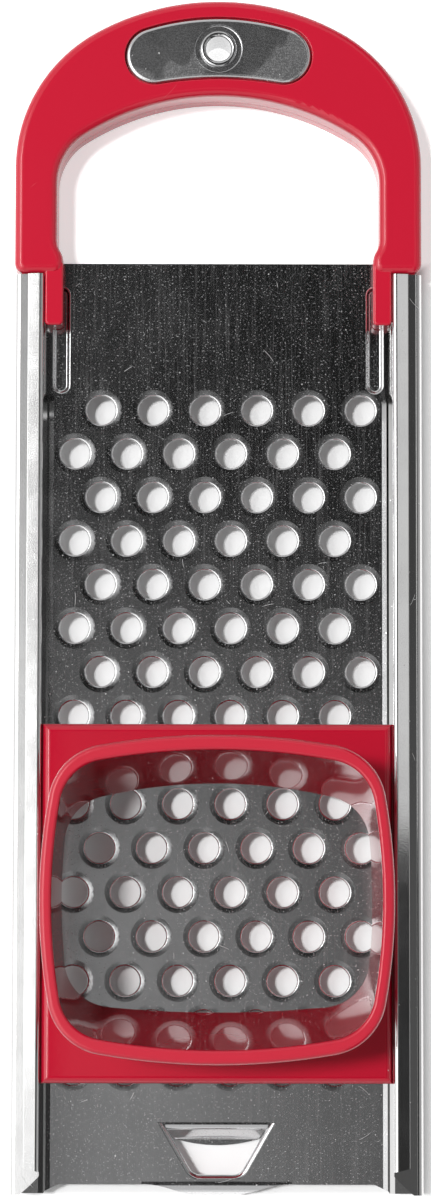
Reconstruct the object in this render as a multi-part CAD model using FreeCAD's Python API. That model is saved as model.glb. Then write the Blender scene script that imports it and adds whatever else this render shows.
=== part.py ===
import FreeCAD, Part
import math
import os

# Flat batter press for small dumplings: a perforated steel plate with folded side rails, an arched
# two-part handle with a steel inlay and a hanging eyelet, and an open hopper that slides on the rails.
# Millimetres. X runs across the plate, Y along it towards the handle, Z up out of the plate.
# While it is drawn, Y = 0 is the first row of holes and Z = 0 is the top face of the perforated field.

os.makedirs("parts", exist_ok=True)

# Overall outline
handle_top_y = 110.8
bottom_end_y = -210.2
lowest_z = -6.8
outer_half_width = 54.75

# Sheet of the plate
sheet = 0.8
outer_bend = 1.8
inner_bend = outer_bend - sheet
floor_top_y = 40.0
rail_top_y = 36.0
rail_bottom_y = -209.5
flange_under_z = 6.0
flange_edge_x = 46.9
flange_rise = 0.3

# Hem, the flange's edge folded back over it, with a round fold and a leg that slants down to the flange
hem_edge_x = 51.1
hem_edge_z = 7.8
hem_slope = 10.0
hem_fold_radius = 1.03
hem_inner_round = 0.2
hem_edge_round = 0.15
hem_end_y = -202.4
hem_end_slant = 1.3

# Raised track along each rail, where the hopper's runners slide
track_rise = 0.6
track_steps = ((44.3, 0.0), (45.5, 0.5), (46.1, 0.5), (47.4, 1.0))
track_ramp_bottom_y = -3.0
track_ramp_top_y = 4.4

# Slanted ends of the rail flanges
flange_cut_inner_y = -203.9
flange_cut_mid_x = 49.6
flange_cut_mid_y = -207.3
flange_cut_outer_x = 52.4

# Round holes in staggered rows
hole_radius = 3.9
hole_pitch_x = 14.0
hole_pitch_y = 11.8
holes_per_row = 6
hole_rows = 16
dish_radius = 5.6
dish_depth = 0.06
hole_edge_round = 0.5
collar_outer_radius = 5.8
collar_depth = 0.35

# Stiffening beads beside the handle's feet
bead_centre_x = 42.35
bead_width = 4.9
bead_depth = 0.9
bead_flank = 1.2
bead_bottom_y = 4.4
bead_top_y = 33.9
bead_under_round = 0.85

# Window and bent-down hook for the rim of the pot
window_top_y = -190.75
window_bottom_y = -204.7
window_top_half = 14.3
window_bottom_half = 6.2
window_corner = 3.4
window_rim_round = 1.3
window_rim_lap = 0.4
window_rim_depth = 1.7
window_rim_gap = 0.25
hook_bend_start_y = -190.75
hook_fold_radius = 2.4
hook_slope = 60.0
hook_toe_slope = 15.0
hook_toe_radius = 0.8
hook_toe_end_y = -197.2
hook_toe_side_y = -195.5
hook_fold_half = 13.6
hook_toe_half = 11.1

# Turned-down lip at the lower end of the plate
lip_bend_start_y = -206.3
lip_bend_radius = 3.9
lip_half_width = 20.0
lip_drop = 4.5
floor_end_y = -207.2
corner_end_y = -209.1

# Tangs of the plate inside the handle's legs
tang_inner_x = 45.8
tang_outer_x = 52.4
tang_top_y = 62.0
tang_hole_radius = 1.7
slot_gap = 0.1

# Handle outline, three arcs outside and three inside
leg_outer_x = 54.75
leg_inner_x = 43.4
crown_outer_radius = 68.0
shoulder_outer_radius = 42.3
shoulder_outer_y = 65.28
crown_inner_radius = 66.9
shoulder_inner_radius = 15.6
shoulder_inner_y = 60.9
handle_inner_top_y = 84.7
leg_end_y = 36.3
handle_front_z = 8.2
handle_part_z = -0.85
handle_edge_round = 2.1
handle_back_round = 0.9
parting_round = 0.2
leg_corner_round = 2.6
flare_top_y = 45.5
flare_bottom_y = 39.2
shell_wall = 2.4
cavity_start_y = 68.0
front_cavity_top_z = 5.0
back_cavity_floor_z = -4.4

# Feet of the handle on the plate
foot_inner_x = 41.7
foot_outer_x = 46.7
foot_end_y = 22.2
foot_top_z = 7.4
foot_corner = 1.2
foot_edge_round = 0.7
foot_lift = 0.02
foot_channel_x = 52.9
foot_channel_top_z = 5.6

# Steel inlay on the crown of the handle
inlay_thick = 1.8
inlay_top_z = 8.5
inlay_gap = 0.4
inlay_lobe_x = 17.4
inlay_lobe_y = 95.5
inlay_lobe_radius = 7.5
inlay_top_y = 105.74
inlay_bottom_y = 89.5
inlay_edge_round = 1.0
pocket_edge_round = 0.3
well_radius = 6.6
well_depth = 1.2

# Hanging eyelet, a tube rolled over at the front and at the back
eyelet_y = 97.4
eyelet_bore = 3.4
eyelet_tube = 4.1
eyelet_rim = 5.0
eyelet_top_z = 8.4
eyelet_bottom_z = -6.75
eyelet_gap = 0.05
eyelet_edge = 0.7
eyelet_boss = 6.6
back_recess_radius = 7.5
back_recess_z = -5.2
back_ring_radius = 7.3
back_ring_thick = 0.8

# Self-tapping screws from the back of each leg
screw_x = 49.1
screw_ys = (44.5, 56.5)
screw_shank_radius = 1.45
screw_tip_z = 5.4
screw_hole_radius = 1.5
screw_clear_radius = 1.6
screw_head_radius = 2.9
screw_head_floor_z = -4.2
screw_head_thick = 1.9
screw_recess_radius = 3.2
screw_cross_length = 3.2
screw_cross_width = 0.7
screw_cross_depth = 1.0

# Moulded pegs that line the two halves of the handle up
peg_places = ((-40.5, 86.3), (40.5, 86.3))
peg_radius = 1.5
peg_socket_radius = 1.6
peg_boss_radius = 3.2
peg_top_z = 2.6

# Hopper
hopper_centre_y = -132.7
hopper_lift = 0.3
hopper_base_half_x = 46.5
hopper_skirt_half_x = 44.8
hopper_base_half_y = 47.6
hopper_base_top_z = 8.0
hopper_base_round = 2.0
runner_half_x = 53.1
runner_under_z = 0.9
runner_top_z = 5.6
hopper_top_z = 45.0
rim_height = 4.0
rim_outer_round = 1.3
rim_inner_round = 0.8
rim_under_round = 0.5
hopper_shape_y = 0.9
pocket_top_z = 5.3
pocket_near_y = 35.4
pocket_far_y = 44.9
pocket_half_x = 41.6
pocket_rib = 2.0
pocket_count = 4

# Barrel-shaped outlines of the hopper: half width, side radius, corner radius, then the distance and the
# radius of the end towards the handle and of the other end
mouth_outline = (42.4, 150.0, 12.5, (38.4, 168.0), (38.4, 168.0))
outlet_outline = (41.55, 170.0, 13.0, (31.1, 135.0), (30.0, 300.0))
rim_outline = (45.5, 150.0, 16.0, (42.1, 175.0), (42.1, 175.0))
wall_top_outline = (44.8, 149.0, 15.3, (41.0, 172.0), (41.0, 172.0))
wall_foot_outline = (44.15, 172.0, 15.0, (33.7, 138.0), (32.6, 303.0))

# Moves everything so that the middle of the underside is the origin
middle_y = 0.5 * (handle_top_y + bottom_end_y)
eps = 0.01
over = 5.0


def vec(x, y, z=0.0):
    return FreeCAD.Vector(x, y, z)


def box(x0, x1, y0, y1, z0, z1):
    return Part.makeBox(x1 - x0, y1 - y0, z1 - z0, vec(x0, y0, z0))


def rod(radius, x, y, z0, z1):
    return Part.makeCylinder(radius, z1 - z0, vec(x, y, z0))


def mirrored(shape):
    return shape.mirror(vec(0, 0, 0), vec(1, 0, 0))


def both_sides(shape):
    return [shape, mirrored(shape)]


def rounded_wire(points, radii, place):
    """Closed outline with arcs at its corners. place turns a flat point into a vector."""
    count = len(points)
    starts = []
    ends = []
    middles = []
    for i in range(count):
        here = points[i]
        before = points[i - 1]
        after = points[(i + 1) % count]
        radius = radii[i]
        to_before = (before[0] - here[0], before[1] - here[1])
        to_after = (after[0] - here[0], after[1] - here[1])
        length_before = math.hypot(*to_before)
        length_after = math.hypot(*to_after)
        u = (to_before[0] / length_before, to_before[1] / length_before)
        w = (to_after[0] / length_after, to_after[1] / length_after)
        corner = math.acos(max(-1.0, min(1.0, u[0] * w[0] + u[1] * w[1])))
        if radius <= 0 or math.pi - corner < 0.01:
            starts.append(here)
            ends.append(here)
            middles.append(None)
            continue
        back = radius / math.tan(corner / 2)
        starts.append((here[0] + u[0] * back, here[1] + u[1] * back))
        ends.append((here[0] + w[0] * back, here[1] + w[1] * back))
        bisector = (u[0] + w[0], u[1] + w[1])
        size = math.hypot(*bisector)
        reach = radius / math.sin(corner / 2) - radius
        middles.append((here[0] + bisector[0] / size * reach, here[1] + bisector[1] / size * reach))
    edges = []
    for i in range(count):
        if middles[i] is not None:
            edges.append(Part.Arc(place(*starts[i]), place(*middles[i]), place(*ends[i])).toShape())
        following = starts[(i + 1) % count]
        if math.dist(ends[i], following) > 1e-6:
            edges.append(Part.makeLine(place(*ends[i]), place(*following)))
    return Part.Wire(edges)


def flat_prism(points, radii, z0, z1):
    """Upright prism over a rounded outline seen from above."""
    wire = rounded_wire(points, radii, lambda x, y: vec(x, y, z0))
    return Part.Face(wire).extrude(vec(0, 0, z1 - z0))


def side_prism(points, radii, x0, x1):
    """Prism across the plate over a rounded outline seen from the side."""
    wire = rounded_wire(points, radii, lambda y, z: vec(x0, y, z))
    return Part.Face(wire).extrude(vec(x1 - x0, 0, 0))


def turned(points_and_arcs):
    """Solid of revolution about Z from lines and arcs in the XZ plane."""
    edges = []
    for item in points_and_arcs:
        ends = [vec(r, 0, z) for r, z in item]
        if len(ends) == 2:
            edges.append(Part.makeLine(ends[0], ends[1]))
        else:
            edges.append(Part.Arc(*ends).toShape())
    return Part.Face(Part.Wire(edges)).revolve(vec(0, 0, 0), vec(0, 0, 1), 360)


def edges_at_height(shape, z):
    """Edges that lie wholly at one height."""
    return [e for e in shape.Edges if abs(e.BoundBox.ZMin - z) < 1e-4 and abs(e.BoundBox.ZMax - z) < 1e-4]


# Plate


def flange_z(x):
    """Height of the flange's underside, which rises a little from the wall to its folded edge."""
    wall_x = outer_half_width - sheet
    return flange_under_z + flange_rise * (wall_x - x) / (wall_x - flange_edge_x)


def hem_z(x):
    """Height of the top of the hem's slanting leg."""
    return hem_edge_z + (hem_edge_x - x) * math.tan(math.radians(hem_slope))


def sheet_section(rise, y):
    """Cross-section of the folded sheet, from rail to rail, at one place along the plate."""
    wall_x = outer_half_width - sheet
    fold_x = flange_edge_x + sheet
    leg_under = sheet / math.cos(math.radians(hem_slope))
    right = [((x, share * rise), 0.0) for x, share in track_steps]
    right += [
        ((wall_x, rise), inner_bend),
        ((wall_x, flange_z(wall_x)), inner_bend),
        ((flange_edge_x, flange_z(flange_edge_x)), hem_fold_radius),
        ((flange_edge_x, hem_z(flange_edge_x)), hem_fold_radius),
        ((hem_edge_x, hem_edge_z), hem_edge_round),
        ((hem_edge_x, hem_edge_z - leg_under), 0.0),
        ((fold_x, hem_z(fold_x) - leg_under), hem_inner_round),
        ((fold_x, flange_z(fold_x) + sheet), hem_inner_round),
        ((outer_half_width, flange_z(outer_half_width) + sheet), outer_bend),
        ((outer_half_width, rise - sheet), outer_bend),
    ]
    right += [((x, share * rise - sheet), 0.0) for x, share in reversed(track_steps)]
    left = [((-p[0], p[1]), r) for p, r in reversed(right)]
    corners = right + left
    return rounded_wire([c[0] for c in corners], [c[1] for c in corners], lambda x, z: vec(x, y, z))


def folded_sheet():
    """Sheet with rails: raised tracks below, a short ramp, and a level floor beside the feet."""
    raised = Part.Face(sheet_section(track_rise, rail_bottom_y))
    raised = raised.extrude(vec(0, track_ramp_bottom_y - rail_bottom_y, 0))
    ramp = Part.makeLoft(
        [sheet_section(track_rise, track_ramp_bottom_y), sheet_section(0.0, track_ramp_top_y)], True, True
    )
    level = Part.Face(sheet_section(0.0, track_ramp_top_y))
    level = level.extrude(vec(0, rail_top_y - track_ramp_top_y, 0))
    return raised.fuse([ramp, level])


def top_edge_and_tangs():
    """Strip of floor above the rails and the two tangs that go up inside the legs."""
    strip = box(-tang_outer_x, tang_outer_x, rail_top_y - 0.5, floor_top_y, -sheet, 0)
    tang = flat_prism(
        [
            (tang_inner_x, floor_top_y - 1.0),
            (tang_outer_x, floor_top_y - 1.0),
            (tang_outer_x, tang_top_y),
            (tang_inner_x, tang_top_y),
        ],
        [0, 0, 2.5, 2.5],
        -sheet,
        0,
    )
    for y in screw_ys:
        tang = tang.cut(rod(tang_hole_radius, screw_x, y, -over, over))
    return [strip] + both_sides(tang)


def hole_places():
    places = []
    for row in range(hole_rows):
        shift = hole_pitch_x / 4 if row % 2 == 0 else -hole_pitch_x / 4
        for i in range(holes_per_row):
            x = (i - (holes_per_row - 1) / 2) * hole_pitch_x + shift
            places.append((x, -row * hole_pitch_y))
    return places


def hole_collar():
    """Ring of sheet that the punch draws down below the plate."""
    low = -sheet - collar_depth
    mid_r = 0.5 * (collar_outer_radius + hole_radius) + 0.1
    return turned(
        [
            ((hole_radius, -sheet + eps), (collar_outer_radius, -sheet + eps)),
            ((collar_outer_radius, -sheet + eps), (mid_r, low + 0.1), (hole_radius + 0.3, low)),
            ((hole_radius + 0.3, low), (hole_radius, low)),
            ((hole_radius, low), (hole_radius, -sheet + eps)),
        ]
    )


def hole_cutter():
    """Hole with the dished surface and the rounded edge that the punch leaves round it."""
    edge_r = hole_radius + hole_edge_round
    edge_z = -dish_depth - hole_edge_round
    corner_r = hole_radius + hole_edge_round * (1 - math.cos(math.pi / 4))
    corner_z = edge_z + hole_edge_round * math.sin(math.pi / 4)
    mid_r = 0.5 * (dish_radius + edge_r)
    low = -sheet - over
    return turned(
        [
            ((0, 1.0), (dish_radius, 1.0)),
            ((dish_radius, 1.0), (dish_radius, 0)),
            ((dish_radius, 0), (mid_r, -0.27 * dish_depth), (edge_r, -dish_depth)),
            ((edge_r, -dish_depth), (corner_r, corner_z), (hole_radius, edge_z)),
            ((hole_radius, edge_z), (hole_radius, low)),
            ((hole_radius, low), (0, low)),
            ((0, low), (0, 1.0)),
        ]
    )


def copies(tool, places):
    result = []
    for x, y in places:
        item = tool.copy()
        item.translate(vec(x, y, 0))
        result.append(item)
    return result


def capsule(x, y0, y1, width, z0, z1):
    """Upright slot-shaped prism with round ends."""
    r = width / 2
    body = box(x - r, x + r, y0 + r, y1 - r, z0, z1)
    return body.fuse([rod(r, x, y0 + r, z0, z1), rod(r, x, y1 - r, z0, z1)]).removeSplitter()


def bead_boss():
    """Underside of a pressed bead."""
    low = -sheet - bead_depth
    wide = bead_width + 2 * sheet * 0.8
    shape = capsule(bead_centre_x, bead_bottom_y - 0.6, bead_top_y + 0.6, wide, low, -sheet / 2)
    return shape.makeFillet(bead_under_round, edges_at_height(shape, low))


def bead_flank_edges():
    """One flank of a bead's hollow: a round shoulder that runs into a round foot."""
    outer = bead_width / 2
    inner = outer - bead_flank
    half_way = vec(0.5 * (outer + inner), 0, -bead_depth / 2)
    radius = (bead_flank**2 + bead_depth**2) / (4 * bead_depth)
    angle = math.atan2(bead_depth, bead_flank)
    run = radius * math.sin(angle)
    drop = radius * (1 - math.cos(angle))
    shoulder = [vec(outer, 0, 0), vec(outer - run, 0, -drop), half_way]
    foot = [half_way, vec(inner + run, 0, drop - bead_depth), vec(inner, 0, -bead_depth)]
    return [Part.Arc(*shoulder).toShape(), Part.Arc(*foot).toShape()]


def bead_groove():
    """Hollow of a pressed bead."""
    outer = bead_width / 2
    inner = outer - bead_flank
    top = Part.makeLine(vec(0, 0, over), vec(outer, 0, over))
    side = Part.makeLine(vec(outer, 0, over), vec(outer, 0, 0))
    floor = Part.makeLine(vec(inner, 0, -bead_depth), vec(0, 0, -bead_depth))
    middle = Part.makeLine(vec(0, 0, -bead_depth), vec(0, 0, over))
    half = Part.Face(Part.Wire([top, side] + bead_flank_edges() + [floor, middle]))
    end = half.revolve(vec(0, 0, 0), vec(0, 0, 1), 360)
    y0 = bead_bottom_y + outer
    y1 = bead_top_y - outer
    run = half.extrude(vec(0, y1 - y0, 0))
    pieces = both_sides(run) + [end]
    for piece in pieces:
        piece.translate(vec(bead_centre_x, y0, 0))
    far_end = end.copy()
    far_end.translate(vec(0, y1 - y0, 0))
    return pieces[0].fuse(pieces[1:] + [far_end]).removeSplitter()


def window_prism(grow, top_y, z0, z1):
    """Prism over the window's outline, grown outwards at its sides and its lower edge."""
    run = window_top_half - window_bottom_half
    height = window_top_y - window_bottom_y
    slope = run / height
    across = grow * math.hypot(run, height) / height
    bottom_y = window_bottom_y - grow
    top_half = window_top_half + across + (top_y - window_top_y) * slope
    bottom_half = window_bottom_half + across - grow * slope
    points = [(-top_half, top_y), (top_half, top_y), (bottom_half, bottom_y), (-bottom_half, bottom_y)]
    corner = window_corner + grow
    return flat_prism(points, [0, 0, corner, corner], z0, z1)


def window_rim():
    """Rolled edge that the punch draws down along the window's sides and lower edge."""
    top_y = window_top_y + over
    plug = window_prism(0, top_y + 1, -over, over)
    ring = window_prism(window_rim_round + window_rim_lap, top_y, -window_rim_depth, 0).cut(plug)
    near = window_rim_round / 3
    inner = [e for e in edges_at_height(ring, 0) if Part.Vertex(e.CenterOfMass).distToShape(plug)[0] < near]
    ring = ring.makeFillet(window_rim_round, inner)
    wide = outer_half_width
    return ring.cut(box(-wide, wide, window_top_y - window_rim_gap, top_y + 1, -over, over))


def offset_line(line, distance):
    """Line z = z0 + slope * y moved down by a distance measured square to it."""
    z0, slope = line
    return (z0 - distance * math.hypot(1.0, slope), slope)


def crossing(first, second):
    """Point where two such lines meet."""
    y = (second[0] - first[0]) / (first[1] - second[1])
    return (y, first[0] + first[1] * y)


def hook_tab():
    """Tab folded down from the top edge of the window, with a toe turned up a little."""
    steep_slope = math.tan(math.radians(hook_slope))
    toe_slope = math.tan(math.radians(hook_toe_slope))
    corner_y = hook_bend_start_y - hook_fold_radius * math.tan(math.radians(hook_slope) / 2)
    top = (0.0, 0.0)
    steep = (-corner_y * steep_slope, steep_slope)
    toe_under = (lowest_z - hook_toe_end_y * toe_slope, toe_slope)
    toe = offset_line(toe_under, -sheet)
    steep_under = offset_line(steep, sheet)
    root_y = hook_bend_start_y + 0.6
    points = [
        (root_y, 0.0),
        crossing(top, steep),
        crossing(steep, toe),
        (hook_toe_end_y, toe[0] + toe[1] * hook_toe_end_y),
        (hook_toe_end_y, lowest_z),
        crossing(steep_under, toe_under),
        crossing((-sheet, 0.0), steep_under),
        (root_y, -sheet),
    ]
    radii = [0, hook_fold_radius, hook_toe_radius, 0, 0, hook_toe_radius + sheet, hook_fold_radius - sheet, 0]
    tab = side_prism(points, radii, -hook_fold_half, hook_fold_half)
    shoulder_y = hook_bend_start_y - 1.4
    top_y = hook_bend_start_y + 1.0
    toe_side = vec(hook_toe_half, hook_toe_side_y)
    other_side = vec(-hook_toe_half, hook_toe_side_y)
    outline = [
        Part.Arc(other_side, vec(0, hook_toe_end_y), toe_side).toShape(),
        Part.makeLine(toe_side, vec(hook_fold_half, shoulder_y)),
        Part.makeLine(vec(hook_fold_half, shoulder_y), vec(hook_fold_half, top_y)),
        Part.makeLine(vec(hook_fold_half, top_y), vec(-hook_fold_half, top_y)),
        Part.makeLine(vec(-hook_fold_half, top_y), vec(-hook_fold_half, shoulder_y)),
        Part.makeLine(vec(-hook_fold_half, shoulder_y), other_side),
    ]
    keep = Part.Face(Part.Wire(outline)).extrude(vec(0, 0, 4 * over))
    keep.translate(vec(0, 0, -2 * over))
    return tab.common(keep)


def lip():
    """Rounded lip at the lower end, deepest in the middle."""
    root_y = lip_bend_start_y + 0.6
    end_y = lip_bend_start_y - lip_bend_radius
    points = [
        (root_y, 0.0),
        (end_y, 0.0),
        (end_y, -lip_drop),
        (end_y + sheet, -lip_drop),
        (end_y + sheet, -sheet),
        (root_y, -sheet),
    ]
    radii = [0, lip_bend_radius, 0, 0, lip_bend_radius - sheet, 0]
    return side_prism(points, radii, -lip_half_width, lip_half_width)


def lip_trim():
    """What is cut from the lip: its corners, seen from above and seen from the end."""
    above = [
        (lip_half_width + 1, floor_end_y),
        (17.0, floor_end_y - 0.1),
        (13.0, floor_end_y - 1.0),
        (9.5, floor_end_y - 2.1),
        (6.5, bottom_end_y + 0.05),
        (5.0, bottom_end_y - 2.0),
    ]
    plan_edges = Part.BSplineCurve()
    plan_edges.interpolate([vec(x, y, -10) for x, y in above])
    first = vec(above[0][0], above[0][1], -10)
    last = vec(above[-1][0], above[-1][1], -10)
    corner = vec(above[0][0], above[-1][1], -10)
    plan = Part.Wire([plan_edges.toShape(), Part.makeLine(last, corner), Part.makeLine(corner, first)])
    from_above = Part.Face(plan).extrude(vec(0, 0, 20))
    end_y = bottom_end_y - over
    ends = [(3.0, -lip_drop - 0.5), (5.0, -4.1), (7.5, -2.7), (10.0, -1.9), (14.0, -1.7), (22.0, -1.7)]
    end_edges = Part.BSplineCurve()
    end_edges.interpolate([vec(x, end_y, z) for x, z in ends])
    first = vec(ends[0][0], end_y, ends[0][1])
    last = vec(ends[-1][0], end_y, ends[-1][1])
    corner = vec(ends[-1][0], end_y, ends[0][1])
    outline = Part.Wire([end_edges.toShape(), Part.makeLine(last, corner), Part.makeLine(corner, first)])
    from_end = Part.Face(outline).extrude(vec(0, lip_bend_start_y - end_y, 0))
    return both_sides(from_above) + both_sides(from_end)


def floor_end_cutter():
    """Trims the floor's lower edge between the rails, leaving the room that the lip fills."""
    inner = 46.0
    points = [
        (-inner, bottom_end_y - over),
        (-inner, corner_end_y),
        (-inner + 4.0, floor_end_y),
        (inner - 4.0, floor_end_y),
        (inner, corner_end_y),
        (inner, bottom_end_y - over),
    ]
    return flat_prism(points, [0, 1.0, 2.0, 2.0, 1.0, 0], -over, flange_under_z - 1)


def flange_end_cutter():
    """Slanted end of a rail's flange, and the step where its hem stops."""
    low = flange_under_z - 0.5
    start = vec(flange_edge_x - 0.6, flange_cut_inner_y, low)
    middle = vec(flange_cut_mid_x, flange_cut_mid_y, low)
    end = vec(flange_cut_outer_x, rail_bottom_y - 0.2, low)
    corner = vec(flange_edge_x - 0.6, rail_bottom_y - 0.2, low)
    wire = Part.Wire(
        [Part.Arc(start, middle, end).toShape(), Part.makeLine(end, corner), Part.makeLine(corner, start)]
    )
    slant = Part.Face(wire).extrude(vec(0, 0, 4))
    inner_x = flange_edge_x - 1
    outer_x = hem_edge_x + 0.3
    top_z = flange_under_z + 5 * sheet
    hem = flat_prism(
        [
            (outer_x, hem_end_y),
            (outer_x, rail_bottom_y - 1),
            (inner_x, rail_bottom_y - 1),
            (inner_x, hem_end_y - hem_end_slant),
        ],
        [0, 0, 0, 0],
        low,
        top_z,
    )
    over_flange = [
        (inner_x, flange_z(inner_x) + sheet),
        (outer_x, flange_z(outer_x) + sheet),
        (outer_x, top_z),
        (inner_x, top_z),
    ]
    above = Part.Face(rounded_wire(over_flange, [0, 0, 0, 0], lambda x, z: vec(x, rail_bottom_y - 1, z)))
    return [slant, hem.common(above.extrude(vec(0, hem_end_y + 2 - rail_bottom_y, 0)))]


def grater_plate():
    body = folded_sheet()
    body = body.fuse(top_edge_and_tangs() + both_sides(bead_boss())).removeSplitter()
    body = body.cut(both_sides(bead_groove()))
    body = body.cut([floor_end_cutter(), window_prism(window_rim_round, window_top_y, -over, over)])
    slants = [tool for pair in map(both_sides, flange_end_cutter()) for tool in pair]
    body = body.cut(slants)
    # the lip takes the place of the straight end of the floor
    room = box(-lip_half_width, lip_half_width, bottom_end_y - over, lip_bend_start_y, -over, 1.0)
    body = body.cut(room)
    lip_shape = lip().cut(lip_trim())
    body = body.fuse([lip_shape, hook_tab(), window_rim()] + copies(hole_collar(), hole_places()))
    body = body.cut(copies(hole_cutter(), hole_places()))
    return body.removeSplitter()


# Handle


def arch_points(crown, shoulder, shoulder_y, side_x, top_y):
    """End and middle points of the three arcs over an arch, right half."""
    centre_x = side_x - shoulder
    crown_y = top_y - crown
    length = math.hypot(centre_x, shoulder_y - crown_y)
    ux = centre_x / length
    uy = (shoulder_y - crown_y) / length
    join = (ux * crown, crown_y + uy * crown)
    angle = math.atan2(uy, ux) / 2
    middle = (centre_x + shoulder * math.cos(angle), shoulder_y + shoulder * math.sin(angle))
    return join, middle, (side_x, shoulder_y)


def arch_edges(crown, shoulder, shoulder_y, side_x, top_y, z):
    """Arcs over an arch from one side to the other."""
    join, middle, side = arch_points(crown, shoulder, shoulder_y, side_x, top_y)
    right = [vec(p[0], p[1], z) for p in (side, middle, join)]
    left = [vec(-p[0], p[1], z) for p in (join, middle, side)]
    return [
        Part.Arc(*right).toShape(),
        Part.Arc(right[2], vec(0, top_y, z), left[0]).toShape(),
        Part.Arc(*left).toShape(),
    ]


def leg_inner_line(z, sign):
    """Inner edge of a leg below the arch, with its slight flare over the plate's edge."""
    top = vec(sign * leg_inner_x, shoulder_inner_y, z)
    knee = vec(sign * leg_inner_x, flare_top_y, z)
    curve = Part.BezierCurve()
    mid_y = 0.5 * (flare_top_y + flare_bottom_y)
    curve.setPoles(
        [
            knee,
            vec(sign * leg_inner_x, mid_y, z),
            vec(sign * foot_inner_x, mid_y, z),
            vec(sign * foot_inner_x, flare_bottom_y, z),
        ]
    )
    return [Part.makeLine(top, knee), curve.toShape()]


def corner_arc(first, corner, last, radius, z):
    """Quarter arc at a square corner, from the side of one point to the side of the other."""
    towards_first = (first[0] - corner[0], first[1] - corner[1])
    towards_last = (last[0] - corner[0], last[1] - corner[1])
    u = [c / math.hypot(*towards_first) for c in towards_first]
    w = [c / math.hypot(*towards_last) for c in towards_last]
    inset = radius * (1 - math.sqrt(0.5))
    start = vec(corner[0] + u[0] * radius, corner[1] + u[1] * radius, z)
    middle = vec(corner[0] + (u[0] + w[0]) * inset, corner[1] + (u[1] + w[1]) * inset, z)
    end = vec(corner[0] + w[0] * radius, corner[1] + w[1] * radius, z)
    return Part.Arc(start, middle, end).toShape(), start, end


def leg_end_edges(sign, z):
    """Lower end of a leg, from its outer side round to the flare of its inner side."""
    outer = (sign * leg_outer_x, shoulder_outer_y)
    inner = (sign * foot_inner_x, flare_bottom_y)
    stops = [outer, (sign * leg_outer_x, leg_end_y), (sign * foot_inner_x, leg_end_y), inner]
    edges = []
    here = vec(outer[0], outer[1], z)
    for before, corner, after in zip(stops, stops[1:], stops[2:]):
        arc, start, end = corner_arc(before, corner, after, leg_corner_round, z)
        edges += [Part.makeLine(here, start), arc]
        here = end
    edges.append(Part.makeLine(here, vec(inner[0], inner[1], z)))
    return edges


def handle_face(z):
    """Outline of the handle without its feet."""
    edges = arch_edges(
        crown_outer_radius, shoulder_outer_radius, shoulder_outer_y, leg_outer_x, handle_top_y, z
    )
    edges += arch_edges(
        crown_inner_radius, shoulder_inner_radius, shoulder_inner_y, leg_inner_x, handle_inner_top_y, z
    )
    for sign in (1, -1):
        edges += leg_inner_line(z, sign) + leg_end_edges(sign, z)
    return Part.Face(Part.Wire(Part.__sortEdges__(edges)))


def cavity_prism(z0, z1):
    """Hollow inside the arch, one wall thickness in from both edges."""
    w = shell_wall
    outer_x = leg_outer_x - w
    inner_x = leg_inner_x + w
    edges = arch_edges(
        crown_outer_radius - w, shoulder_outer_radius - w, shoulder_outer_y, outer_x, handle_top_y - w, z0
    )
    inner_top_y = handle_inner_top_y + w
    edges += arch_edges(
        crown_inner_radius + w, shoulder_inner_radius + w, shoulder_inner_y, inner_x, inner_top_y, z0
    )
    for sign in (1, -1):
        a = vec(sign * outer_x, shoulder_outer_y, z0)
        b = vec(sign * outer_x, shoulder_inner_y, z0)
        c = vec(sign * inner_x, shoulder_inner_y, z0)
        edges += [Part.makeLine(a, b), Part.makeLine(b, c)]
    prism = Part.Face(Part.Wire(Part.__sortEdges__(edges))).extrude(vec(0, 0, z1 - z0))
    return prism.cut(box(-2 * outer_x, 2 * outer_x, 0, cavity_start_y, z0 - 1, z1 + 1))


def inlay_arc_centre(level):
    """Height of the centre of an arc that touches both lobes, from the height where it crosses the middle."""
    return (inlay_lobe_x**2 + inlay_lobe_y**2 - level**2) / (2 * (inlay_lobe_y - level))


def inlay_outline(grow, z):
    """Kidney outline of the inlay: two round lobes joined by one arc above and one below."""
    lobe_r = inlay_lobe_radius + grow
    upper_y = inlay_arc_centre(inlay_top_y - inlay_lobe_radius)
    lower_y = inlay_arc_centre(inlay_bottom_y + inlay_lobe_radius)
    upper_angle = math.atan2(inlay_lobe_y - upper_y, inlay_lobe_x)
    lower_angle = math.atan2(lower_y - inlay_lobe_y, -inlay_lobe_x)

    def on_lobe(sign, angle):
        return vec(sign * (inlay_lobe_x + lobe_r * math.cos(angle)), inlay_lobe_y + lobe_r * math.sin(angle), z)

    edges = []
    for angle, y in ((upper_angle, inlay_top_y + grow), (lower_angle, inlay_bottom_y - grow)):
        edges.append(Part.Arc(on_lobe(1, angle), vec(0, y, z), on_lobe(-1, angle)).toShape())
    for sign in (1, -1):
        angles = (upper_angle, 0.5 * (upper_angle + lower_angle), lower_angle)
        edges.append(Part.Arc(*[on_lobe(sign, angle) for angle in angles]).toShape())
    return Part.Wire(Part.__sortEdges__(edges))


def foot_block():
    """Foot under the end of a leg, standing on the plate inside the rail."""
    points = [
        (foot_inner_x, foot_end_y),
        (foot_outer_x, foot_end_y),
        (foot_outer_x, leg_end_y + leg_corner_round),
        (foot_inner_x, leg_end_y + leg_corner_round),
    ]
    block = flat_prism(points, [foot_corner, foot_corner, 0, 0], foot_lift, foot_top_z)
    top = [e for e in edges_at_height(block, foot_top_z) if e.BoundBox.YMin < leg_end_y]
    return block.makeFillet(foot_edge_round, top)


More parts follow.
